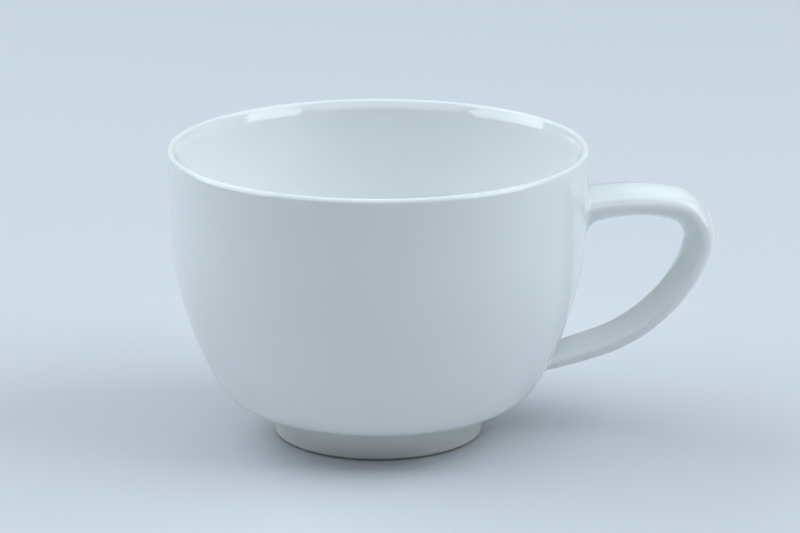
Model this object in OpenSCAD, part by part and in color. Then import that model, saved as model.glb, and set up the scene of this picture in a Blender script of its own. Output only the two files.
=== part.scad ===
// Cappuccino cup: a formed bowl with a foot ring and a cast strap handle, both luted on with slip.
// Units are millimetres. The cup stands on z = 0 and its axis is the Z axis. The handle points along +X.

/* [Bowl] */
// Outer diameter of the cup at its lip
rim_d = 90; // [84:1:110]
// Height of the lip above the table
cup_h = 62.8; // [54:0.2:80]
// Thickness of the wall
wall_t = 2.4; // [1.8:0.1:3.4]
// Radius of the round on top of the lip
lip_r = 0.95; // [0.6:0.05:1.2]
// Radius of the softer round that eases the lip into the inside of the wall
ease_r = 7; // [4:0.5:10]
// Lean of the straight upper wall from upright, in degrees
wall_lean = 2; // [0.5:0.5:5]
// Radius of the long curve of the side
side_r = 73; // [55:1:90]
// Lean of the side where the long curve meets the heel, in degrees
side_end = 30; // [24:1:35]
// Radius of the heel, the tight turn into the underside
heel_r = 10; // [6:0.5:14]
// Slope of the underside between heel and foot, in degrees
under_slope = 8; // [4:1:12]
// Thickness of the floor over the foot
floor_t = 3.6; // [2.4:0.2:6]
// Radius of the turn from the inner side to the floor
well_r = 13; // [8:0.5:18]

/* [Foot] */
// Outer diameter of the foot ring
foot_d = 45; // [36:1:51]
// Height of the foot ring
foot_h = 6.2; // [4:0.2:9]
// Width of the foot ring where it is luted to the bowl
foot_w = 4.4; // [3.6:0.2:6]
// Lean of the ring's inner face from upright, in degrees
foot_lean = 8; // [2:1:14]
// Radius of the two edges of the standing rim
foot_edge_r = 0.8; // [0.4:0.1:1.2]
// Rise of the domed base inside the foot
dome_rise = 0.7; // [0.3:0.1:1.5]

/* [Handle] */
// Drop from the lip to the back of the handle at its highest
handle_drop = 9.8; // [6:0.2:12]
// How far the handle stands out past the lip
handle_out = 26.2; // [20:0.2:32]
// Width of the strap at its upper root, from which it tapers
strap_w = 15.2; // [12:0.2:18]
// Width of the strap at its lower root
strap_w_low = 12.2; // [9:0.2:15]
// Depth of the strap at its upper root, from its flat back to its round inner side
strap_t = 5.7; // [4.5:0.1:7]
// Depth of the strap at its lower root
strap_t_low = 3.9; // [3.4:0.1:5.6]
// Crown of the strap's back
strap_crown = 0.7; // [0.2:0.05:1.2]
// Radius of the strap's two edges
strap_edge_r = 1.8; // [1:0.1:2.4]
// Radius of the upper arm's arch
arm_r = 54; // [40:1:80]
// Radius of the corner that turns the handle down
corner_r = 9.2; // [8.6:0.2:12]
// Height above the table at which the long sweep back to the bowl meets the tail
tail_h = 17; // [16:0.2:19]
// Radius of the tail, the nearly straight end of the sweep
tail_r = 200; // [60:10:400]
// Direction in which the strap's back faces where the arm meets the corner, in degrees above level
arm_end = 80; // [74:1:84]
// The same where the corner meets the sweep, in degrees below level
sweep_start = 18; // [12:0.5:22]
// The same where the sweep meets the tail, in degrees below level
tail_start = 73; // [68:1:80]
// Extra depth of the strap in the middle of the corner
corner_swell = 0.95; // [0:0.05:1.2]
// Length to either side of the corner's middle over which that swell dies out
corner_len = 16; // [14:0.5:20]
// Length over which the strap swells and turns to fit the bowl
root_len = 9; // [6:0.5:12]
// Extra depth of the strap at its upper root
root_swell = 0.85; // [0:0.05:2]
// Radius of the fillet round both roots
root_fillet = 1; // [0.6:0.1:1.5]
// Radius of the fillet under the upper root
crotch_fillet = 2.4; // [1.6:0.1:3]

/* [Slip joints] */
// Thickness of the slip that lutes the foot and the handle to the bowl
slip_t = 0.4; // [0.3:0.05:0.6]
// Width of the slip's cove along the foot
cove_w = 1.2; // [0.8:0.1:1.6]

/* [Hidden] */

porcelain = [0.93, 0.95, 0.95];
slip = [0.89, 0.91, 0.9];
$fn = 180;

// Distance by which the roots of the strap run into the wall before they are cut to fit it
past = 1;
// How much flatter than a true fillet a root fillet is, so that it has no feather edge
blunt = 1.15;
// Largest share of the wall that the round on the lip may take, so that some is left for the ease
lip_share = 0.45;
// Angle at which a cove leaves the faces that it joins, so that it has no feather edge
cove_lift = 3;

rim_r = rim_d / 2;
lip = min(lip_r, lip_share * wall_t);
lip_c = [rim_r - lip, cup_h - lip];
foot_r = foot_d / 2;
foot_in = foot_r - foot_w;
seat_z = foot_h + slip_t;
seat_in = foot_in - cove_w;
floor_z = seat_z + floor_t;

// Unit vector that points out of a wall whose foot leans in by a degrees
function facing(a) = [cos(a), -sin(a)];

// Points of an arc about c, from one facing to another, which can leave out its first
function arc(c, r, from, to, steps, first = 0) = [
    for (i = [first : steps]) c + r * facing(from + (to - from) * i / steps)
];

// The side runs down from the lip: straight wall, long curve, heel, underside, level seat of the foot.
// Where the foot is too wide to leave an underside, the heel stops at the edge of the seat.
seat_edge = [foot_r, seat_z];
wall_top = lip_c + lip * facing(wall_lean);
heel_from = wall_top + side_r * (facing(side_end) - facing(wall_lean)) - heel_r * facing(side_end);
heel_at_seat = wall_lean + acos(max(-1, (seat_edge - heel_from) * facing(wall_lean) / heel_r));
heel_end = min(90 - under_slope, heel_at_seat);
under_top = heel_from + heel_r * facing(heel_end);
straight_l = (under_top.y - (under_top.x - foot_r) * tan(under_slope) - seat_z)
    / (cos(wall_lean) - sin(wall_lean) * tan(under_slope));
wall_end = wall_top - straight_l * [sin(wall_lean), cos(wall_lean)];
side_c = wall_end - side_r * facing(wall_lean);
heel_c = side_c + (side_r - heel_r) * facing(side_end);

// Ease inside the lip, which touches the lip's round where both face the same way
ease_end = wall_lean - 180 + acos(1 - (wall_t - 2 * lip) / (ease_r - lip));
ease_c = lip_c - (ease_r - lip) * facing(ease_end);

// Turn from the inner side to the flat floor
inner_r = side_r - wall_t;
well_c = [
    side_c.x + sqrt(pow(inner_r - well_r, 2) - pow(side_c.y - floor_z - well_r, 2)),
    floor_z + well_r
];
well_lean = atan2(side_c.y - well_c.y, well_c.x - side_c.x);

// Dome of the base inside the foot
dome_r = (seat_in * seat_in + dome_rise * dome_rise) / (2 * dome_rise);
dome_c = [0, seat_z + dome_rise - dome_r];

lip_steps = 14;
ease_steps = 4;
side_steps = 20;
heel_steps = 14;
dome_steps = 8;
foot_edge_steps = 6;
cove_steps = 6;

// Outside of the bowl from heel to upper wall, grown by g
function outer_line(g = 0) = concat(
    arc(heel_c, heel_r + g, heel_end, side_end, heel_steps),
    arc(side_c, side_r + g, side_end, wall_lean, side_steps)
);

// Height and slope of the bowl's underside at distance x from the axis
heel_x = heel_c.x + heel_r * cos(heel_end);
function under_at(x) =
    x < heel_x ? seat_z + (x - foot_r) * tan(under_slope)
    : heel_c.y - sqrt(heel_r * heel_r - pow(x - heel_c.x, 2));
function slope_at(x) = x < heel_x ? under_slope : asin((x - heel_c.x) / heel_r);

// Radius of the bowl's outside at height z
heel_top = side_c + side_r * facing(side_end);
function wall_at(z) =
    z > wall_end.y ? wall_end.x + (z - wall_end.y) * tan(wall_lean)
    : z > heel_top.y ? side_c.x + sqrt(side_r * side_r - pow(z - side_c.y, 2))
    : heel_c.x + sqrt(heel_r * heel_r - pow(z - heel_c.y, 2));

module bowl() {
    color(porcelain) rotate_extrude() polygon(concat(
        arc(dome_c, dome_r, -90, asin(seat_in / dome_r) - 90, dome_steps),
        [seat_edge],
        outer_line(),
        arc(lip_c, lip, wall_lean, ease_end, lip_steps),
        arc(ease_c, ease_r, ease_end, wall_lean - 180, ease_steps, 1),
        arc(side_c, inner_r, wall_lean, well_lean, side_steps),
        arc(well_c, well_r, well_lean, 90, heel_steps),
        [[0, floor_z]]
    ));
}

// Ring with a flat top that is luted to the bowl and a narrower standing rim
module foot_ring() {
    e = foot_edge_r;
    outer_c = [foot_r - e, e];
    inner_c = [foot_in + (foot_h - e) * tan(foot_lean) + e / cos(foot_lean), e];
    color(porcelain) rotate_extrude() polygon(concat(
        [[foot_in, foot_h]],
        arc(inner_c, e, 180 - foot_lean, 90, foot_edge_steps),
        arc(outer_c, e, 90, 0, foot_edge_steps),
        [[foot_r, foot_h]]
    ));
}

// Points of a hollow round from p to q, where the faces that it joins run at the angles from and to
function cove(p, q, from, to) =
    let (
        chord = atan2(q.y - p.y, q.x - p.x),
        half = min(from - chord, chord - to) - cove_lift,
        r = norm(q - p) / (2 * sin(half)),
        c = (p + q) / 2 + r * cos(half) * [sin(chord), -cos(chord)]
    )
    [
        for (i = [0 : cove_steps])
            let (v = p - c + (q - p) * i / cove_steps)
            c + r * v / norm(v)
    ];

module foot_joint() {
    reach = foot_r + cove_w;
    outer_low = [foot_r, seat_z - cove_w];
    outer_top = [reach, under_at(reach)];
    inner_low = [foot_in + (cove_w - slip_t) * tan(foot_lean), seat_z - cove_w];
    inner_top = [seat_in, seat_z];
    heel_line = arc(heel_c, heel_r, side_end, heel_end, heel_steps);
    color(slip) rotate_extrude() polygon(concat(
        cove(inner_top, inner_low, 0, foot_lean - 90),
        [[foot_in, foot_h], [foot_r, foot_h]],
        cove(outer_low, outer_top, 90, slope_at(reach)),
        [for (p = heel_line) if (p.x > foot_r && p.x < reach) p],
        [seat_edge]
    ));
}

// The handle's back follows four arcs that bulge outwards, so the way it faces marks a place on it.
arm_c = [
    rim_r + handle_out - corner_r - (arm_r - corner_r) * cos(arm_end),
    cup_h - handle_drop - arm_r
];
corner_c = arm_c + (arm_r - corner_r) * [cos(arm_end), sin(arm_end)];
sweep_r = (corner_c.y - corner_r * sin(sweep_start) - tail_h) / (sin(tail_start) - sin(sweep_start));
sweep_c = corner_c - (sweep_r - corner_r) * facing(sweep_start);
tail_c = sweep_c - (tail_r - sweep_r) * facing(tail_start);
tail_x = sweep_c.x + sweep_r * cos(tail_start);

// Centre and radius of the arc on which the back faces a degrees
function arc_at(a) =
    a > arm_end ? [arm_c, arm_r]
    : a > -sweep_start ? [corner_c, corner_r]
    : a > -tail_start ? [sweep_c, sweep_r]
    : [tail_c, tail_r];
function back_at(a) = let (place = arc_at(a)) place[0] + place[1] * [cos(a), sin(a)];

// Facing of the back along the arm, and along sweep and tail, at distance x from the axis
function upper_facing(x) = acos((x - arm_c.x) / arm_r);
function lower_facing(x) = -acos(x < tail_x ? (x - tail_c.x) / tail_r : (x - sweep_c.x) / sweep_r);

// Distance from the axis at which the arm and the tail reach the wall, by repeated steps
function arm_meets(x, steps = 6) =
    steps == 0 ? x : arm_meets(wall_at(back_at(upper_facing(x)).y), steps - 1);
function tail_meets(x, steps = 6) =
    steps == 0 ? x : tail_meets(wall_at(back_at(lower_facing(x)).y), steps - 1);
upper_x = arm_meets(rim_r);
lower_x = tail_meets(sweep_c.x);
first_facing = upper_facing(upper_x);
last_facing = lower_facing(lower_x);

// Degrees that the back has turned past one facing, up to another, where it faces a degrees
function turned(from, to, a) = from - min(from, max(to, a));

// Length of the back from the upper root to where it faces a degrees
function way(a) = PI / 180 * (
    arm_r * turned(first_facing, arm_end, a)
    + corner_r * turned(arm_end, -sweep_start, a)
    + sweep_r * turned(-sweep_start, -tail_start, a)
    + tail_r * turned(-tail_start, last_facing, a)
);
strap_l = way(last_facing);
corner_way = way((arm_end - sweep_start) / 2);

// A size of the strap where its back faces a degrees, tapering evenly from the upper root to the lower
function taper(from, to, a) = from + (to - from) * way(a) / strap_l;

// Share of the corner's swell where the back faces a degrees
function corner_share(a) = pow(cos(90 * min(1, abs(way(a) - corner_way) / corner_len)), 2);

// Growth of a fillet of radius r at distance d from the wall
function fillet(r, d) =
    let (reach = r * blunt, s = max(0, min(1, (reach - d - (blunt - 1) * r) / reach)))
    reach * (1 - sqrt(1 - s * s));

// Share of the root's swell and turn at distance d from the wall
function root_share(d) = pow(max(0, 1 - max(0, d) / root_len), 2);

// Section of the strap as [across, out] points: crowned back, round edges that run on from the crown's
// slope, round inner side
edge_steps = 4;
back_steps = 6;
inside_steps = 16;
function strap_section(w, depth, back, edge) =
    let (
        h = w / 2,
        tilt = atan2(2 * strap_crown, h - edge),
        flat = h - edge * (1 - sin(tilt)),
        edge_z = back - edge * cos(tilt)
    )
    [
        for (i = [0 : back_steps - 1])
            let (y = flat - 2 * flat * i / back_steps)
            [y, back + strap_crown * (1 - pow(y / flat, 2))],
        for (i = [0 : edge_steps - 1])
            let (a = 90 + tilt + (90 - tilt) * i / edge_steps)
            [edge - h + edge * cos(a), edge_z + edge * sin(a)],
        for (i = [0 : inside_steps - 1])
            let (a = 180 + 180 * i / inside_steps)
            [h * cos(a), edge_z + (depth + edge_z) * sin(a)],
        for (i = [0 : edge_steps - 1])
            let (a = (90 - tilt) * i / edge_steps)
            [h - edge + edge * cos(a), edge_z + edge * sin(a)]
    ];

// Ring of the strap where its back faces a degrees, d from the wall
function strap_ring(a, d, swell, inner_fillet) =
    let (
        grow = fillet(root_fillet, d),
        share = root_share(d),
        w = taper(strap_w, strap_w_low, a) + 2 * grow,
        depth = taper(strap_t, strap_t_low, a) + corner_swell * corner_share(a) + swell * share
            + fillet(inner_fillet, d),
        back = back_at(a)
    )
    [
        for (p = strap_section(w, depth, grow, strap_edge_r + grow))
            let (
                x = back.x + p.y * cos(a),
                z = back.y + p.y * sin(a),
                wall_r = wall_at(z),
                turn = sqrt(wall_r * wall_r - p.x * p.x) - wall_at(back.y) - p.y * cos(a)
            )
            [x + share * turn, p.x, z]
    ];

// Distances from the wall of the rings of a root, closer together near the wall
root_steps = 10;
function root_d(i) = -past + (root_len + past) * pow(i / root_steps, 2);

upper_rings = [
    for (i = [0 : root_steps])
        strap_ring(upper_facing(upper_x + root_d(i)), root_d(i), root_swell, crotch_fillet)
];
lower_rings = [
    for (i = [root_steps : -1 : 0])
        strap_ring(lower_facing(lower_x + root_d(i)), root_d(i), 0, root_fillet)
];

// Rings along a stretch of the strap clear of the roots, without its first
function stretch(from, to, steps) = [
    for (i = [1 : steps]) strap_ring(from + (to - from) * i / steps, root_len, 0, root_fillet)
];
arm_steps = 3;
corner_steps = 14;
sweep_steps = 16;
middle_rings = concat(
    stretch(upper_facing(upper_x + root_len), arm_end, arm_steps),
    stretch(arm_end, -sweep_start, corner_steps),
    stretch(-sweep_start, lower_facing(lower_x + root_len), sweep_steps)
);

// Closed skin over a row of rings that have the same number of points
module skin(rings) {
    n = len(rings[0]);
    last = len(rings) - 1;
    sides = [
        for (j = [0 : last - 1], i = [0 : n - 1])
            let (a = j * n + i, b = j * n + (i + 1) % n)
            each [[a, a + n, b], [b, a + n, b + n]]
    ];
    ends = [
        for (i = [1 : n - 2])
            each [[0, i, i + 1], [last * n, last * n + i + 1, last * n + i]]
    ];
    polyhedron([for (ring = rings) each ring], concat(sides, ends));
}

// Solid of the bowl's outside, grown by g, from heel to upper wall
module outer_solid(g) {
    line = outer_line(g);
    top = wall_top + g * facing(wall_lean);
    rotate_extrude() polygon(concat([[0, line[0].y]], line, [top, [0, top.y]]));
}

// Layer of slip between the bowl and a root, whose rings nearest to the wall shape its edge
joint_steps = 5;
module root_joint(rings) {
    intersection() {
        skin(rings);
        difference() {
            outer_solid(slip_t);
            outer_solid(0);
        }
    }
}

module handle() {
    color(porcelain) difference() {
        skin(concat(upper_rings, middle_rings, [for (i = [1 : root_steps]) lower_rings[i]]));
        outer_solid(slip_t);
    }
}

module upper_joint() {
    color(slip) root_joint([for (i = [0 : joint_steps]) upper_rings[i]]);
}

module lower_joint() {
    color(slip) root_joint([for (i = [root_steps - joint_steps : root_steps]) lower_rings[i]]);
}

bowl();
foot_ring();
foot_joint();
handle();
upper_joint();
lower_joint();
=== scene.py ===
# Cappuccino cup in white porcelain: turned bowl and foot, swept strap handle, slip joints, glaze.
# Sizes in the dictionaries are millimetres and degrees. Meshes are metres, in the frame's own axes.

from math import acos, asin, atan2, cos, degrees, hypot, pi, radians, sin, sqrt, tan

import bpy
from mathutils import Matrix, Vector


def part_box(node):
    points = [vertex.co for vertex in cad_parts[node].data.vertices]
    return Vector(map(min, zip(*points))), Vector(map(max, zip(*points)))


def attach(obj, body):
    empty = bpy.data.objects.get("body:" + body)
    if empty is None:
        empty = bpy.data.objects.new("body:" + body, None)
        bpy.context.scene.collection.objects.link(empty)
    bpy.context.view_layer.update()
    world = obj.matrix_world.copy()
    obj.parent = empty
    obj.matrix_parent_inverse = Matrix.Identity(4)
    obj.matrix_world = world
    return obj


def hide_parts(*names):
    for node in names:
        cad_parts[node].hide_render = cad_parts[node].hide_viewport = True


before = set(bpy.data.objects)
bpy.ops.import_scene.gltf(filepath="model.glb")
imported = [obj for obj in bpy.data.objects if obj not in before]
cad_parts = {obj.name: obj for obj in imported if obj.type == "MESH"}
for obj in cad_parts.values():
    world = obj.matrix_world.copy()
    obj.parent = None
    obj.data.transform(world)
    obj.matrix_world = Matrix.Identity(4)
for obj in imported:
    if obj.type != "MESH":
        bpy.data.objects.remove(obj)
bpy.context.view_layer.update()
mm = 0.001
print("frame loaded:", ", ".join(sorted(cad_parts)))


# shared tools

def hexToLinear(code):
    # sRGB hex to the linear values that shaders take, with a full alpha
    channels = [int(code[i:i + 2], 16) / 255 for i in (1, 3, 5)]
    return [c / 12.92 if c <= 0.04045 else ((c + 0.055) / 1.055) ** 2.4 for c in channels] + [1.0]


def perMetre(sizeInMm):
    # texture scale whose features are about this many millimetres across
    return 1 / (sizeInMm * mm)


def addNode(tree, kind, inputs=None, **props):
    # a value that is a socket is linked, any other is set on the node's own socket
    node = tree.nodes.new(kind)
    for name, value in props.items():
        setattr(node, name, value)
    for key, value in (inputs or {}).items():
        if isinstance(value, bpy.types.NodeSocket):
            tree.links.new(value, node.inputs[key])
        else:
            node.inputs[key].default_value = value
    return node


def newMaterial(name):
    material = bpy.data.materials.new(name)
    material.use_nodes = True
    material.node_tree.nodes.clear()
    return material, material.node_tree


def linkObject(name, data):
    thing = bpy.data.objects.new(name, data)
    bpy.context.scene.collection.objects.link(thing)
    return thing


def dress(piece, slot, *nodes):
    # every piece stands for its CAD node and rides on the one body
    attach(piece, "root")
    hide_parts(*nodes)


# camera, solved from the lip, foot and side outlines of the photo

view = {
    "lens": 153,
    "sensorWidth": 36,
    "distance": 699.7,    # from the cup's axis, along the floor
    "height": 235.9,
    "pitch": 15.928,      # looking down
    "yaw": 0.38,          # the cup stands a little left of centre
    "handleTurn": -2,     # the handle points this far away from the camera
}
cameraData = bpy.data.cameras.new("photoCamera")
cameraData.lens = view["lens"]
cameraData.sensor_width = view["sensorWidth"]
camera = linkObject("photoCamera", cameraData)
turn = radians(view["handleTurn"])
camera.location = (
    view["distance"] * sin(turn) * mm,
    -view["distance"] * cos(turn) * mm,
    view["height"] * mm,
)
camera.rotation_euler = (radians(90 - view["pitch"]), 0, radians(view["handleTurn"] - view["yaw"]))
bpy.context.scene.camera = camera
print("camera placed")


# materials

mixA, mixB, mixResult = 6, 7, 2   # the colour sockets of a Mix node
noiseLow, noiseHigh = 0.3, 0.7    # most of a noise's values lie between these


def glazeLook(tree, settings):
    # clear glaze fired over white porcelain: a wet gloss with a faint wave, thicker and greener in creases,
    # and greener and darker as painted shade on the handle's side to the bowl
    coords = addNode(tree, "ShaderNodeTexCoord").outputs["Object"]
    depth = addNode(tree, "ShaderNodeAttribute", attribute_name="glazeDepthAndShade").outputs["Fac"]
    cloud = addNode(tree, "ShaderNodeTexNoise", {
        "Vector": coords, "Scale": perMetre(settings["cloudSize"]), "Detail": 3.0, "Roughness": 0.5})
    pooledAndShaded = addNode(tree, "ShaderNodeMix", {
        "Factor": depth, mixA: hexToLinear(settings["body"]), mixB: hexToLinear(settings["pooledAndShaded"])},
        data_type="RGBA")
    shade = addNode(tree, "ShaderNodeMapRange", {
        "Value": cloud.outputs["Fac"], "From Min": noiseLow, "From Max": noiseHigh,
        "To Min": 1 - settings["clouding"], "To Max": 1.0})
    colour = addNode(tree, "ShaderNodeMix", {
        "Factor": 1.0, mixA: pooledAndShaded.outputs[mixResult], mixB: shade.outputs["Result"]},
        data_type="RGBA", blend_type="MULTIPLY")
    gloss = addNode(tree, "ShaderNodeMapRange", {
        "Value": cloud.outputs["Fac"], "From Min": noiseLow, "From Max": noiseHigh,
        "To Min": settings["roughness"][0], "To Max": settings["roughness"][1]})
    wave = addNode(tree, "ShaderNodeTexNoise", {
        "Vector": coords, "Scale": perMetre(settings["waveSize"]), "Detail": 2.0, "Roughness": 0.45})
    bump = addNode(tree, "ShaderNodeBump", {
        "Height": wave.outputs["Fac"], "Strength": 1.0, "Distance": settings["waveHeight"] * mm})
    return addNode(tree, "ShaderNodeBsdfPrincipled", {
        "Base Color": colour.outputs[mixResult], "Roughness": gloss.outputs["Result"],
        "IOR": settings["ior"], "Normal": bump.outputs["Normal"]})


glaze = {
    "body": "#f8f9f9",          # white porcelain under the clear coat
    "pooledAndShaded": "#e9efec",        # where the glaze runs together it is a little greener; on the handle's side towards the bowl the same colour is painted shade
    "cloudSize": 14,
    "clouding": 0.015,
    "roughness": (0.035, 0.06),
    "waveSize": 7,              # the slow wave of a dipped glaze
    "waveHeight": 0.006,
    "ior": 1.52,
}
footGlaze = dict(glaze, body="#f6f7f2", pooledAndShaded="#e6ebe4")   # thicker on the foot, with a hint of olive


def glazedPorcelain():
    material, tree = newMaterial("glazedPorcelain")
    surface = glazeLook(tree, glaze)
    addNode(tree, "ShaderNodeOutputMaterial", {"Surface": surface.outputs["BSDF"]})
    return material


bareRim = {
    "body": "#cfc9ba",          # unglazed porcelain, ground after firing, dry and a little warm
    "stain": "#8f8672",         # grey-brown of trays and tables, rubbed into the grit
    "stainSize": 2.5,
    "gritSize": 0.35,           # real grit is finer: drawn this coarse to show
    "gritHeight": 0.02,
    "roughness": 0.72,
    "lineHeight": 0.5,          # the glaze is wiped back to this height
    "lineWander": 0.2,
    "wanderSize": 5,
    "lineSoftness": 0.12,
}


def footPorcelain():
    # glaze down to a wandering line, then the bare standing rim
    material, tree = newMaterial("footPorcelain")
    surface = glazeLook(tree, footGlaze)
    coords = addNode(tree, "ShaderNodeTexCoord").outputs["Object"]
    stain = addNode(tree, "ShaderNodeTexNoise", {
        "Vector": coords, "Scale": perMetre(bareRim["stainSize"]), "Detail": 4.0})
    body = addNode(tree, "ShaderNodeMix", {
        "Factor": stain.outputs["Fac"],
        mixA: hexToLinear(bareRim["body"]), mixB: hexToLinear(bareRim["stain"])}, data_type="RGBA")
    grit = addNode(tree, "ShaderNodeTexNoise", {
        "Vector": coords, "Scale": perMetre(bareRim["gritSize"]), "Detail": 2.0})
    bump = addNode(tree, "ShaderNodeBump", {
        "Height": grit.outputs["Fac"], "Strength": 1.0, "Distance": bareRim["gritHeight"] * mm})
    bare = addNode(tree, "ShaderNodeBsdfPrincipled", {
        "Base Color": body.outputs[mixResult], "Roughness": bareRim["roughness"],
        "Normal": bump.outputs["Normal"]})
    wander = addNode(tree, "ShaderNodeTexNoise", {
        "Vector": coords, "Scale": perMetre(bareRim["wanderSize"]), "Detail": 1.0})
    height = addNode(tree, "ShaderNodeSeparateXYZ", {"Vector": coords})
    glazeLine = addNode(tree, "ShaderNodeMath", {
        0: wander.outputs["Fac"], 1: -bareRim["lineWander"] * mm, 2: height.outputs["Z"]},
        operation="MULTIPLY_ADD")
    middle = (bareRim["lineHeight"] - bareRim["lineWander"] / 2) * mm
    share = addNode(tree, "ShaderNodeMapRange", {
        "Value": glazeLine.outputs["Value"],
        "From Min": middle - bareRim["lineSoftness"] * mm,
        "From Max": middle + bareRim["lineSoftness"] * mm,
        "To Min": 0.0, "To Max": 1.0}, interpolation_type="SMOOTHSTEP")
    both = addNode(tree, "ShaderNodeMixShader", {
        "Fac": share.outputs["Result"], 1: bare.outputs["BSDF"], 2: surface.outputs["BSDF"]})
    addNode(tree, "ShaderNodeOutputMaterial", {"Surface": both.outputs["Shader"]})
    return material


paper = {
    "colour": "#d6d7dc",        # matt studio paper, pale
    "fibreSize": 3,
    "fibreShade": 0.01,
    "roughness": 0.9,
    "specular": 0.1,
}


def studioPaper():
    material, tree = newMaterial("studioPaper")
    coords = addNode(tree, "ShaderNodeTexCoord").outputs["Object"]
    fibre = addNode(tree, "ShaderNodeTexNoise", {
        "Vector": coords, "Scale": perMetre(paper["fibreSize"]), "Detail": 3.0})
    shade = addNode(tree, "ShaderNodeMapRange", {
        "Value": fibre.outputs["Fac"], "To Min": 1 - paper["fibreShade"], "To Max": 1.0})
    colour = addNode(tree, "ShaderNodeMix", {
        "Factor": 1.0, mixA: hexToLinear(paper["colour"]), mixB: shade.outputs["Result"]},
        data_type="RGBA", blend_type="MULTIPLY")
    surface = addNode(tree, "ShaderNodeBsdfPrincipled", {
        "Base Color": colour.outputs[mixResult], "Roughness": paper["roughness"],
        "Specular IOR Level": paper["specular"]})
    addNode(tree, "ShaderNodeOutputMaterial", {"Surface": surface.outputs["BSDF"]})
    return material


porcelain = glazedPorcelain()
footFinish = footPorcelain()
print("materials mixed:", porcelain.name, footFinish.name)


# turning: a Geometry Nodes lathe spins a half profile about the cup's axis

lathe = {
    "segments": 192,
    "mergeDistance": 0.002,
    "creaseAngle": 32,
}


def latheTree():
    tree = bpy.data.node_groups.new("turnedOnTheWheel", "GeometryNodeTree")
    for name, kind in (("Profile", "Geometry"), ("Segments", "Int"), ("Merge Distance", "Float"),
                       ("Crease Angle", "Float"), ("Finish", "Material")):
        tree.interface.new_socket(name, in_out="INPUT", socket_type="NodeSocket" + kind)
    tree.interface.new_socket("Piece", in_out="OUTPUT", socket_type="NodeSocketGeometry")
    given = addNode(tree, "NodeGroupInput").outputs

    # one row of grid points for each profile point, one column for each segment and one to close the seam
    count = addNode(tree, "GeometryNodeAttributeDomainSize", {"Geometry": given["Profile"]})
    columns = addNode(tree, "ShaderNodeMath", {0: given["Segments"], 1: 1.0}, operation="ADD").outputs[0]
    grid = addNode(tree, "GeometryNodeMeshGrid", {
        "Vertices X": count.outputs["Point Count"], "Vertices Y": columns})
    index = addNode(tree, "GeometryNodeInputIndex").outputs["Index"]
    share = addNode(tree, "ShaderNodeMath", {0: index, 1: columns}, operation="DIVIDE").outputs[0]
    row = addNode(tree, "ShaderNodeMath", {0: share}, operation="FLOOR").outputs[0]
    column = addNode(tree, "ShaderNodeMath", {0: index, 1: columns}, operation="MODULO").outputs[0]

    # where that point of the profile is, and how thick its glaze
    place = addNode(tree, "GeometryNodeInputPosition").outputs["Position"]
    onProfile = addNode(tree, "GeometryNodeSampleIndex", {
        "Geometry": given["Profile"], "Value": place, "Index": row}, data_type="FLOAT_VECTOR")
    pool = addNode(tree, "GeometryNodeInputNamedAttribute", {"Name": "glazeDepthAndShade"}, data_type="FLOAT")
    glazeDepthAndShade = addNode(tree, "GeometryNodeSampleIndex", {
        "Geometry": given["Profile"], "Value": pool.outputs["Attribute"], "Index": row}, data_type="FLOAT")

    # spin it
    turned = addNode(tree, "ShaderNodeMath", {
        0: column, 1: given["Segments"]}, operation="DIVIDE").outputs[0]
    angle = addNode(tree, "ShaderNodeMath", {0: turned, 1: 2 * pi}, operation="MULTIPLY").outputs[0]
    spun = addNode(tree, "ShaderNodeVectorRotate", {
        "Vector": onProfile.outputs["Value"], "Angle": angle}, rotation_type="Z_AXIS")
    shaped = addNode(tree, "GeometryNodeSetPosition", {
        "Geometry": grid.outputs["Mesh"], "Position": spun.outputs["Vector"]})
    stored = addNode(tree, "GeometryNodeStoreNamedAttribute", {
        "Geometry": shaped.outputs["Geometry"], "Name": "glazeDepthAndShade", "Value": glazeDepthAndShade.outputs["Value"]},
        data_type="FLOAT", domain="POINT")
    closed = addNode(tree, "GeometryNodeMergeByDistance", {
        "Geometry": stored.outputs["Geometry"], "Distance": given["Merge Distance"]})

    # smooth, with hard edges kept where the profile turns sharply
    bend = addNode(tree, "GeometryNodeInputMeshEdgeAngle").outputs["Unsigned Angle"]
    sharp = addNode(tree, "FunctionNodeCompare", {
        0: bend, 1: given["Crease Angle"]}, operation="GREATER_THAN")
    smooth = addNode(tree, "GeometryNodeSetShadeSmooth", {
        "Geometry": closed.outputs["Geometry"], "Shade Smooth": True}, domain="FACE")
    creased = addNode(tree, "GeometryNodeSetShadeSmooth", {
        "Geometry": smooth.outputs["Geometry"], "Selection": sharp.outputs["Result"],
        "Shade Smooth": False}, domain="EDGE")
    real = addNode(tree, "GeometryNodeRealizeInstances", {"Geometry": creased.outputs["Geometry"]})
    finished = addNode(tree, "GeometryNodeSetMaterial", {
        "Geometry": real.outputs["Geometry"], "Material": given["Finish"]})
    addNode(tree, "NodeGroupOutput", {"Piece": finished.outputs["Geometry"]})
    return tree


wheel = latheTree()


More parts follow.
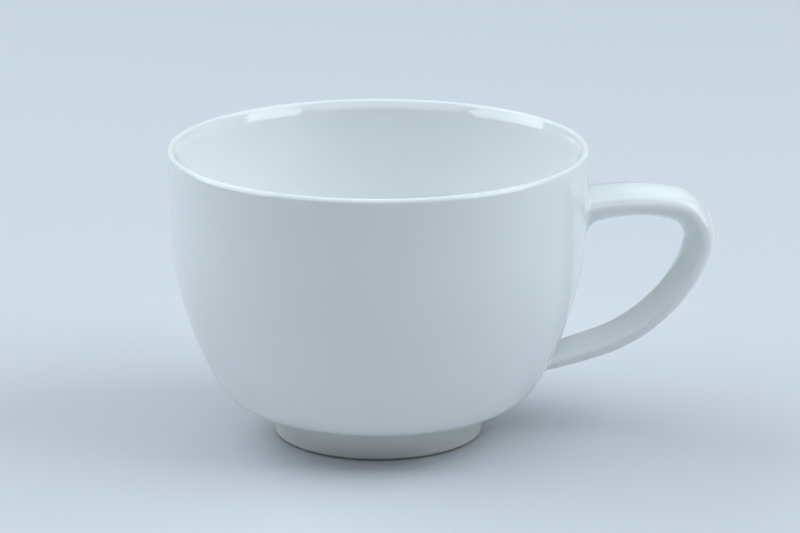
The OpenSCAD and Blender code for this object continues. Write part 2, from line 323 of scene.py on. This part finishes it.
def turnPiece(name, profile, finish):
    # profile: rows of distance from the axis, height and glaze depth,
    # with the material on the left of the way along it
    outline = bpy.data.meshes.new(name + "Profile")
    outline.from_pydata(
        [(r * mm, 0, z * mm) for r, z, _ in profile],
        [(i, i + 1) for i in range(len(profile) - 1)], [])
    pool = outline.attributes.new("glazeDepthAndShade", "FLOAT", "POINT")
    pool.data.foreach_set("value", [depth for _, _, depth in profile])
    piece = linkObject(name, outline)
    spin = piece.modifiers.new("turning", "NODES")
    spin.node_group = wheel
    values = {
        "Segments": lathe["segments"],
        "Merge Distance": lathe["mergeDistance"] * mm,
        "Crease Angle": radians(lathe["creaseAngle"]),
        "Finish": finish,
    }
    for socket in wheel.interface.items_tree:
        if socket.in_out == "INPUT" and socket.name in values:
            spin[socket.identifier] = values[socket.name]
    made = piece.evaluated_get(bpy.context.evaluated_depsgraph_get())
    mesh = bpy.data.meshes.new_from_object(made)
    piece.modifiers.clear()
    piece.data = mesh
    mesh.name = name
    print("turned", name, len(mesh.polygons), "faces")
    return piece


# bowl: straight upper wall, long side curve, heel, sloping underside, level seat for the foot

bowl = {
    "wall": 2.4,
    "wallLean": 2,
    "sideRadius": 73,
    "sideEnd": 30,
    "heelRadius": 10,
    "underSlope": 8,
    "floor": 3.6,
    "wellRadius": 13,
    "domeRise": 0.7,
    "lipRadius": 0.95,       # small round on top of the lip
    "easeRadius": 7,         # softer round inside it
    "steps": {
        "dome": 16, "seat": 4, "underside": 8, "heel": 28, "side": 40, "wall": 12,
        "lip": 24, "ease": 16, "innerWall": 10, "innerSide": 36, "well": 24, "floor": 12},
    # how deep the glaze lies, from 0 to 1, where each stretch of the profile starts and ends
    "glaze": {
        "dome": (0.1, 0.5), "seat": (0.5, 0.5), "underside": (0.6, 0.15), "heel": (0.15, 0.05),
        "side": (0.05, 0.05), "wall": (0.05, 0.1), "lip": (0.1, 0), "ease": (0, 0.1),
        "innerWall": (0.1, 0.1), "innerSide": (0.1, 0.15), "well": (0.15, 0.4), "floor": (0.4, 0.25)},
}
foot = {
    "width": 4.4,
    "innerLean": 8,
    "edgeRadius": 0.8,
    "coveWidth": 1.2,        # the slip's hollow round against the bowl
    "sunk": 0.03,            # the cove's edges lie this far inside the faces that they join
    "glazeTop": 0.5,         # glaze depth under the bowl, thinning to none at the standing rim
    "glazeCove": 0.7,
    "edgeSteps": 10,
    "sideSteps": 8,
    "topSteps": 4,
    "coveSteps": 12,
}
bowlLow, bowlHigh = (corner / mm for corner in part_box("bowl"))
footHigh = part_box("foot_ring")[1] / mm
rimRadius, cupHeight, seatZ = bowlHigh.y, bowlHigh.z, bowlLow.z
footRadius, footHeight = footHigh.y, footHigh.z
slip = seatZ - footHeight
footIn = footRadius - foot["width"]
seatIn = footIn - foot["coveWidth"]
floorZ = seatZ + bowl["floor"]


def facing(a):
    # unit vector out of a wall whose lower edge leans in by a degrees
    return Vector((cos(radians(a)), -sin(radians(a))))


def arc(centre, radius, start, end, steps):
    return [centre + radius * facing(start + (end - start) * i / steps) for i in range(steps + 1)]


def line(start, end, steps):
    return [start.lerp(end, i / steps) for i in range(steps + 1)]


lean, heelEnd = bowl["wallLean"], 90 - bowl["underSlope"]
lipC = Vector((rimRadius - bowl["lipRadius"], cupHeight - bowl["lipRadius"]))
wallTop = lipC + bowl["lipRadius"] * facing(lean)
underTop = (wallTop + bowl["sideRadius"] * (facing(bowl["sideEnd"]) - facing(lean))
            + bowl["heelRadius"] * (facing(heelEnd) - facing(bowl["sideEnd"])))
slope = tan(radians(bowl["underSlope"]))
straight = ((underTop.y - (underTop.x - footRadius) * slope - seatZ)
            / (cos(radians(lean)) - sin(radians(lean)) * slope))
wallEnd = wallTop - straight * Vector((sin(radians(lean)), cos(radians(lean))))
sideC = wallEnd - bowl["sideRadius"] * facing(lean)
heelC = sideC + (bowl["sideRadius"] - bowl["heelRadius"]) * facing(bowl["sideEnd"])
heelTop = sideC + bowl["sideRadius"] * facing(bowl["sideEnd"])


def wallAt(z):
    # outer radius of the bowl at height z
    if z > wallEnd.y:
        return wallEnd.x + (z - wallEnd.y) * tan(radians(lean))
    if z > heelTop.y:
        return sideC.x + sqrt(bowl["sideRadius"] ** 2 - (z - sideC.y) ** 2)
    return heelC.x + sqrt(bowl["heelRadius"] ** 2 - (z - heelC.y) ** 2)


def bowlProfile():
    innerRadius = bowl["sideRadius"] - bowl["wall"]
    wellZ = floorZ + bowl["wellRadius"]
    wellC = Vector((
        sideC.x + sqrt((innerRadius - bowl["wellRadius"]) ** 2 - (sideC.y - wellZ) ** 2), wellZ))
    wellLean = degrees(atan2(sideC.y - wellZ, wellC.x - sideC.x))
    domeRadius = (seatIn ** 2 + bowl["domeRise"] ** 2) / (2 * bowl["domeRise"])
    domeC = Vector((0, seatZ + bowl["domeRise"] - domeRadius))
    domeEnd = degrees(asin(seatIn / domeRadius)) - 90
    # the ease inside the lip touches the lip's round where both face the same way
    spare = (bowl["wall"] - 2 * bowl["lipRadius"]) / (bowl["easeRadius"] - bowl["lipRadius"])
    easeEnd = lean - 180 + degrees(acos(1 - spare))
    easeC = lipC - (bowl["easeRadius"] - bowl["lipRadius"]) * facing(easeEnd)
    innerTop = easeC + bowl["easeRadius"] * facing(lean - 180)
    innerEnd = sideC + innerRadius * facing(lean)
    underEdge, floorEdge = Vector((footRadius, seatZ)), Vector((wellC.x, floorZ))
    steps = bowl["steps"]
    stretches = {
        "dome": arc(domeC, domeRadius, -90, domeEnd, steps["dome"]),
        "seat": line(Vector((seatIn, seatZ)), underEdge, steps["seat"]),
        "underside": line(underEdge, heelC + bowl["heelRadius"] * facing(heelEnd), steps["underside"]),
        "heel": arc(heelC, bowl["heelRadius"], heelEnd, bowl["sideEnd"], steps["heel"]),
        "side": arc(sideC, bowl["sideRadius"], bowl["sideEnd"], lean, steps["side"]),
        "wall": line(wallEnd, wallTop, steps["wall"]),
        "lip": arc(lipC, bowl["lipRadius"], lean, easeEnd, steps["lip"]),
        "ease": arc(easeC, bowl["easeRadius"], easeEnd, lean - 180, steps["ease"]),
        "innerWall": line(innerTop, innerEnd, steps["innerWall"]),
        "innerSide": arc(sideC, innerRadius, lean, wellLean, steps["innerSide"]),
        "well": arc(wellC, bowl["wellRadius"], wellLean, 90, steps["well"]),
        "floor": line(floorEdge, Vector((0, floorZ)), steps["floor"]),
    }
    profile = []
    for name, points in stretches.items():
        first, last = bowl["glaze"][name]
        depths = [first + (last - first) * i / (len(points) - 1) for i in range(len(points))]
        skip = 1 if profile else 0
        profile += [(p.x, p.y, depth) for p, depth in list(zip(points, depths))[skip:]]
    return profile


bowlPiece = turnPiece("bowl", bowlProfile(), porcelain)
dress(bowlPiece, "glazed_porcelain", "bowl")


# foot ring: upright outside, inside that leans towards the standing rim, two small rounds

def footProfile():
    e, inward = foot["edgeRadius"], radians(foot["innerLean"])
    innerC = Vector((footIn + (footHeight - e) * tan(inward) + e / cos(inward), e))
    inner = arc(innerC, e, 180 - foot["innerLean"], 90, foot["edgeSteps"])
    outer = arc(Vector((footRadius - e, e)), e, 90, 0, foot["edgeSteps"])
    innerTop, outerTop = Vector((footIn, footHeight)), Vector((footRadius, footHeight))
    points = (
        line(innerTop, inner[0], foot["sideSteps"])[:-1] + inner + outer
        + line(outer[-1], outerTop, foot["sideSteps"])[1:]
        + line(outerTop, innerTop, foot["topSteps"])[1:]
    )
    return [(p.x, p.y, foot["glazeTop"] * max(0, p.y / footHeight) ** 2) for p in points]


footPiece = turnPiece("foot_ring", footProfile(), footFinish)
dress(footPiece, "foot_porcelain", "foot_ring")


# foot joint: a film of slip under the bowl with a hollow round on either side, where the glaze pools

def cove(start, end, fromAngle, toAngle, steps):
    # hollow round that leaves both faces as smoothly as their angles allow
    chord = end - start
    heading = degrees(atan2(chord.y, chord.x))
    half = radians(min(fromAngle - heading, heading - toAngle))
    radius = chord.length / (2 * sin(half))
    centre = (start + end) / 2 + radius * cos(half) * Vector((chord.y, -chord.x)).normalized()
    points = [start.lerp(end, i / steps) - centre for i in range(steps + 1)]
    return [centre + radius * p.normalized() for p in points]


def footJointProfile():
    reach = footRadius + foot["coveWidth"]
    low, top = seatZ - foot["coveWidth"], seatZ + foot["sunk"]
    innerLow = Vector((footIn + (footHeight - low) * tan(radians(foot["innerLean"])) + foot["sunk"], low))
    outerLow = Vector((footRadius - foot["sunk"], low))
    outerHigh = Vector((reach, top + foot["coveWidth"] * slope))
    points = (
        cove(Vector((seatIn, top)), innerLow, 0, foot["innerLean"] - 90, foot["coveSteps"])
        + [Vector((footIn, footHeight)), Vector((footRadius, footHeight))]
        + cove(outerLow, outerHigh, 90, bowl["underSlope"], foot["coveSteps"])
        + [Vector((footRadius, top)), Vector((seatIn, top))]
    )
    return [(p.x, p.y, foot["glazeCove"]) for p in points]


footJoint = turnPiece("foot_joint", footJointProfile(), porcelain)
dress(footJoint, "glazed_porcelain", "foot_joint")


# handle: a strap swept along four arcs that swells at the corner, its roots turned and flared onto the wall

handle = {
    "width": (15.2, 12.2),   # at the upper root and at the lower
    "depth": (5.7, 3.9),
    "crown": 0.7,
    "edgeRadius": (2.6, 1.8),   # softer towards the upper root
    "armRadius": 54,
    "cornerRadius": 9.2,
    "tailHeight": 17,        # the sweep comes down to this height, where the tail begins
    "tailRadius": 200,       # the nearly straight end of the sweep
    "armEnd": 80,            # way the back faces where one arc meets the next, in degrees above level
    "sweepStart": -18,
    "tailStart": -73,
    "cornerSwell": 0.95,
    "cornerLength": 16,      # the swell dies out this far from the corner's middle
    "rootLength": 9,
    "rootSwell": 0.85,
    "rootFillet": 1,
    "crotchFillet": 2.4,
    "sunk": 0.03,            # the flare's edge lies this far inside the wall
    "glaze": 0.05,           # glaze depth on the strap, what a crease adds, and the painted shade added on the side to the bowl
    "glazeInCrease": 0.55,
    # painted shade: the strap's side towards the bowl is drawn greener and darker, as deeper glaze would be
    "paintedShadeToBowl": 0.8,
    "wallTries": 12,
    "backSteps": 10,
    "edgeSteps": 8,
    "insideSteps": 26,
    "jointSteps": 8,
    "rootSteps": 30,
    "cornerSteps": 40,
    "sweepSteps": 48,
    "armSteps": 12,
    "capSteps": 8,
}
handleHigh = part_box("handle")[1] / mm
handleOut, handleTop = handleHigh.x - handle["crown"], handleHigh.z - handle["crown"]


def onArc(centre, radius, a):
    return centre + radius * Vector((cos(radians(a)), sin(radians(a))))


armC = Vector((
    handleOut - handle["cornerRadius"]
    - (handle["armRadius"] - handle["cornerRadius"]) * cos(radians(handle["armEnd"])),
    handleTop - handle["armRadius"]))
cornerC = onArc(armC, handle["armRadius"] - handle["cornerRadius"], handle["armEnd"])
sweepTop = onArc(cornerC, handle["cornerRadius"], handle["sweepStart"])
sweepRadius = ((sweepTop.y - handle["tailHeight"])
               / (sin(radians(handle["sweepStart"])) - sin(radians(handle["tailStart"]))))
sweepC = onArc(cornerC, handle["cornerRadius"] - sweepRadius, handle["sweepStart"])
tailC = onArc(sweepC, sweepRadius - handle["tailRadius"], handle["tailStart"])
tailX = onArc(sweepC, sweepRadius, handle["tailStart"]).x


def backAt(a):
    # the back bulges outwards all the way, so the way it faces marks a place on it
    if a > handle["armEnd"]:
        return onArc(armC, handle["armRadius"], a)
    if a > handle["sweepStart"]:
        return onArc(cornerC, handle["cornerRadius"], a)
    if a > handle["tailStart"]:
        return onArc(sweepC, sweepRadius, a)
    return onArc(tailC, handle["tailRadius"], a)


def upperFacing(x):
    return degrees(acos((x - armC.x) / handle["armRadius"]))


def lowerFacing(x):
    if x < tailX:
        return -degrees(acos((x - tailC.x) / handle["tailRadius"]))
    return -degrees(acos((x - sweepC.x) / sweepRadius))


def meetsWall(x, facingAt):
    # where the back reaches the wall, by repeated steps
    for _ in range(handle["wallTries"]):
        x = wallAt(backAt(facingAt(x)).y)
    return x


upperX = meetsWall(rimRadius, upperFacing)
lowerX = meetsWall(sweepC.x, lowerFacing)
firstFacing, lastFacing = upperFacing(upperX), lowerFacing(lowerX)


def way(a):
    # length of the back from the upper root to where it faces a degrees
    stops = (firstFacing, handle["armEnd"], handle["sweepStart"], handle["tailStart"], lastFacing)
    radii = (handle["armRadius"], handle["cornerRadius"], sweepRadius, handle["tailRadius"])
    turned = [start - min(start, max(end, a)) for start, end in zip(stops, stops[1:])]
    return sum(radius * radians(t) for radius, t in zip(radii, turned))


strapLength = way(lastFacing)
cornerWay = way((handle["armEnd"] + handle["sweepStart"]) / 2)


def taper(sizes, a):
    # the strap grows slimmer evenly from root to root
    return sizes[0] + (sizes[1] - sizes[0]) * way(a) / strapLength


def cornerShare(a):
    return cos(pi / 2 * min(1, abs(way(a) - cornerWay) / handle["cornerLength"])) ** 2


def flare(radius, d):
    # growth of a fillet that runs out onto the wall
    s = min(1, max(0, 1 - d / radius))
    return radius * (1 - sqrt(1 - s * s))


def strapSection(width, depth, back, edge):
    # (across, out) points round the strap from the middle of its back: crown, edge, round inner side
    half = width / 2
    tilt = atan2(2 * handle["crown"], half - edge)
    flat = half - edge * (1 - sin(tilt))
    edgeZ = back - edge * cos(tilt)
    side = []
    for i in range(handle["backSteps"]):
        share = i / handle["backSteps"]
        side.append((-flat * share, back + handle["crown"] * (1 - share ** 2)))
    for i in range(handle["edgeSteps"]):
        a = pi / 2 + tilt + (pi / 2 - tilt) * i / handle["edgeSteps"]
        side.append((edge - half + edge * cos(a), edgeZ + edge * sin(a)))
    for i in range(handle["insideSteps"] + 1):
        a = pi + pi / 2 * i / handle["insideSteps"]
        side.append((half * cos(a), edgeZ + (depth + edgeZ) * sin(a)))
    return side + [(-across, out) for across, out in side[-2:0:-1]]


def strapRing(a, d, swell, innerFillet):
    # section where the back faces a degrees, d from the wall: near it the section swells and turns to fit
    grow = flare(handle["rootFillet"], d)
    share = max(0, 1 - max(0, d) / handle["rootLength"]) ** 2
    width = taper(handle["width"], a) + 2 * grow
    depth = (taper(handle["depth"], a) + handle["cornerSwell"] * cornerShare(a)
             + swell * share + flare(innerFillet, d))
    back = backAt(a)
    ring = []
    for across, out in strapSection(width, depth, grow, taper(handle["edgeRadius"], a) + grow):
        x = back.x + out * cos(radians(a))
        z = back.y + out * sin(radians(a))
        onWall = sqrt(wallAt(z) ** 2 - across ** 2) - wallAt(back.y)
        ring.append(Vector((x + share * (onWall - out * cos(radians(a))), across, z)))
    return ring


def rootDistances():
    # rings lie closer together towards the wall, and one lies on the face between slip and strap
    near, far = sqrt(slip), sqrt(handle["rootLength"])
    joint = [(near * i / handle["jointSteps"]) ** 2 for i in range(handle["jointSteps"])]
    root = [(near + (far - near) * i / handle["rootSteps"]) ** 2 for i in range(handle["rootSteps"] + 1)]
    return [-handle["sunk"]] + joint + root


def stretch(start, end, steps):
    # rings clear of the roots, without the first
    return [strapRing(start + (end - start) * i / steps, handle["rootLength"], 0, handle["rootFillet"])
            for i in range(1, steps + 1)]


distances = rootDistances()
rings = [strapRing(upperFacing(upperX + d), d, handle["rootSwell"], handle["crotchFillet"])
         for d in distances]
rings += stretch(upperFacing(upperX + handle["rootLength"]), handle["armEnd"], handle["armSteps"])
rings += stretch(handle["armEnd"], handle["sweepStart"], handle["cornerSteps"])
rings += stretch(handle["sweepStart"], lowerFacing(lowerX + handle["rootLength"]), handle["sweepSteps"])
rings += [strapRing(lowerFacing(lowerX + d), d, 0, handle["rootFillet"]) for d in distances[-2::-1]]
around = len(rings[0])


def skinNormal(i, j):
    # normal of the whole skin, so that the pieces cut from it shade without a seam
    along = rings[min(i + 1, len(rings) - 1)][j] - rings[max(i - 1, 0)][j]
    across = rings[i][(j + 1) % around] - rings[i][j - 1]
    return across.cross(along).normalized()


def capPoints(ring, d):
    # rows of points across a ring that follow the wall at distance d
    rows = []
    for j in range(1, around // 2):
        left, right = ring[j], ring[around - j]
        for k in range(1, handle["capSteps"]):
            p = left.lerp(right, k / handle["capSteps"])
            p.x = sqrt(wallAt(p.z) ** 2 - p.y ** 2) + d
            rows.append(p)
    return rows


def glazeAndShadeOnStrap(p, n):
    # the glaze runs together where the strap meets the wall; on the side that faces the bowl painted shade
    # is added as extra glaze depth
    gap = hypot(p.x, p.y) - wallAt(p.z)
    crease = handle["glazeInCrease"] * max(0, 1 - max(0, gap) / handle["crotchFillet"]) ** 2
    return handle["glaze"] + max(crease, handle["paintedShadeToBowl"] * max(0, -n.x))


def strapPiece(name, first, last, dFirst, dLast):
    # rings first to last as a closed piece, with an end cap that follows the wall at each end
    points, normals, faces = [], [], []
    for i in range(first, last + 1):
        points += rings[i]
        normals += [skinNormal(i, j) for j in range(around)]
    for i in range(last - first):
        for j in range(around):
            a, b = i * around + j, i * around + (j + 1) % around
            faces.append((a, b, b + around, a + around))
    inner = handle["capSteps"] - 1
    ends = ((0, rings[first], dFirst, -1), ((last - first) * around, rings[last], dLast, 1))
    for start, ring, d, outward in ends:
        base = len(points)
        rows = capPoints(ring, d)
        points += rows
        normals += [Vector((-1, 0, 0))] * len(rows)
        strips = [[start + j] + [base + (j - 1) * inner + k for k in range(inner)] + [start + around - j]
                  for j in range(1, around // 2)]
        for upper, lower in zip(strips, strips[1:]):
            for k in range(len(upper) - 1):
                face = (upper[k], upper[k + 1], lower[k + 1], lower[k])
                faces.append(face if outward > 0 else face[::-1])
        for tip, strip in ((start, strips[0]), (start + around // 2, strips[-1])):
            fromTop = tip == start
            for k in range(len(strip) - 1):
                face = (tip, strip[k + 1], strip[k]) if fromTop else (tip, strip[k], strip[k + 1])
                faces.append(face if outward > 0 else face[::-1])
    mesh = bpy.data.meshes.new(name)
    mesh.from_pydata([p * mm for p in points], [], faces)
    mesh.shade_smooth()
    mesh.normals_split_custom_set_from_vertices(normals)
    mesh.materials.append(porcelain)
    # glaze depth, with painted shade on the strap's side towards the bowl
    pool = mesh.attributes.new("glazeDepthAndShade", "FLOAT", "POINT")
    pool.data.foreach_set("value", [glazeAndShadeOnStrap(p, n) for p, n in zip(points, normals)])
    mesh.validate()
    print("swept", name, len(mesh.polygons), "faces")
    return linkObject(name, mesh)


jointEnd = 1 + handle["jointSteps"]
lastRing = len(rings) - 1
handlePiece = strapPiece("handle", jointEnd, lastRing - jointEnd, slip, slip)
dress(handlePiece, "glazed_porcelain", "handle")
upperJoint = strapPiece("upper_joint", 0, jointEnd, -handle["sunk"], slip)
dress(upperJoint, "glazed_porcelain", "upper_joint")
lowerJoint = strapPiece("lower_joint", lastRing - jointEnd, lastRing, slip, -handle["sunk"])
dress(lowerJoint, "glazed_porcelain", "lower_joint")


# stage: one pale sheet of studio paper

stage = {
    "side": 8000,
    "gap": 0.02,             # just under the standing rim
}
halfSide, level = stage["side"] / 2 * mm, -stage["gap"] * mm
floorMesh = bpy.data.meshes.new("paperFloor")
floorMesh.from_pydata(
    [(x * halfSide, y * halfSide, level) for x, y in ((-1, -1), (1, -1), (1, 1), (-1, 1))],
    [], [(0, 1, 2, 3)])
floorMesh.materials.append(studioPaper())
linkObject("paperFloor", floorMesh)


# lights: soft boxes and cards hung round the cup

softBoxes = (
    {"name": "left", "azimuth": -103, "elevation": 46, "distance": 1400,
     "size": (1700, 750), "watts": 11.9},
    {"name": "right", "azimuth": 83, "elevation": 46, "distance": 1400,
     "size": (1250, 750), "watts": 11.1},
    {"name": "overhead", "azimuth": 0, "elevation": 86, "distance": 1400,
     "size": (1400, 1400), "watts": 7.3},
    {"name": "behind", "azimuth": 180, "elevation": 24, "distance": 2000,
     "size": (2700, 1650), "watts": 5.6},
    {"name": "leftWall", "azimuth": -106, "elevation": 11, "distance": 2200,
     "size": (2800, 760), "watts": 2.2},
    {"name": "rightWall", "azimuth": 106, "elevation": 11, "distance": 2200,
     "size": (2800, 760), "watts": 2.2},
)
# cards that only the glaze mirrors: they make the bright patches inside the back of the lip
glintCards = (
    {"name": "leftCard", "azimuth": -85, "elevation": 16, "distance": 1400,
     "size": (1400, 640), "watts": 11.5},
    {"name": "rightCard", "azimuth": 65, "elevation": 16, "distance": 1400,
     "size": (900, 640), "watts": 8},
    {"name": "frontCard", "azimuth": -5, "elevation": 32, "distance": 1400,
     "size": (2400, 700), "watts": 11},
)
daylight = "#ebf8ff"         # cool, as the photo's whites are


def hangSoftBox(box):
    data = bpy.data.lights.new(box["name"], "AREA")
    data.shape = "RECTANGLE"
    data.size, data.size_y = (side * mm for side in box["size"])
    data.energy = box["watts"]
    data.color = hexToLinear(daylight)[:3]
    lamp = linkObject(box["name"], data)
    # azimuth 0 is over the camera, 90 to its right
    a, e = radians(box["azimuth"] + view["handleTurn"]), radians(box["elevation"])
    away = Vector((sin(a) * cos(e), -cos(a) * cos(e), sin(e)))
    lamp.location = away * box["distance"] * mm
    lamp.rotation_euler = away.to_track_quat("Z", "Y").to_euler()
    lamp.visible_camera = False
    return lamp


for box in softBoxes:
    hangSoftBox(box)
for card in glintCards:
    hangSoftBox(card).visible_diffuse = False

room = {"colour": "#dfe7f2", "strength": 0.09}
world = bpy.data.worlds.new("paleRoom")
world.use_nodes = True
world.node_tree.nodes.clear()
glow = addNode(world.node_tree, "ShaderNodeBackground", {
    "Color": hexToLinear(room["colour"]), "Strength": room["strength"]})
addNode(world.node_tree, "ShaderNodeOutputWorld", {"Surface": glow.outputs["Background"]})
bpy.context.scene.world = world
bpy.context.scene.view_settings.view_transform = "Standard"
print("stage lit by", len(softBoxes), "soft boxes and", len(glintCards), "cards")
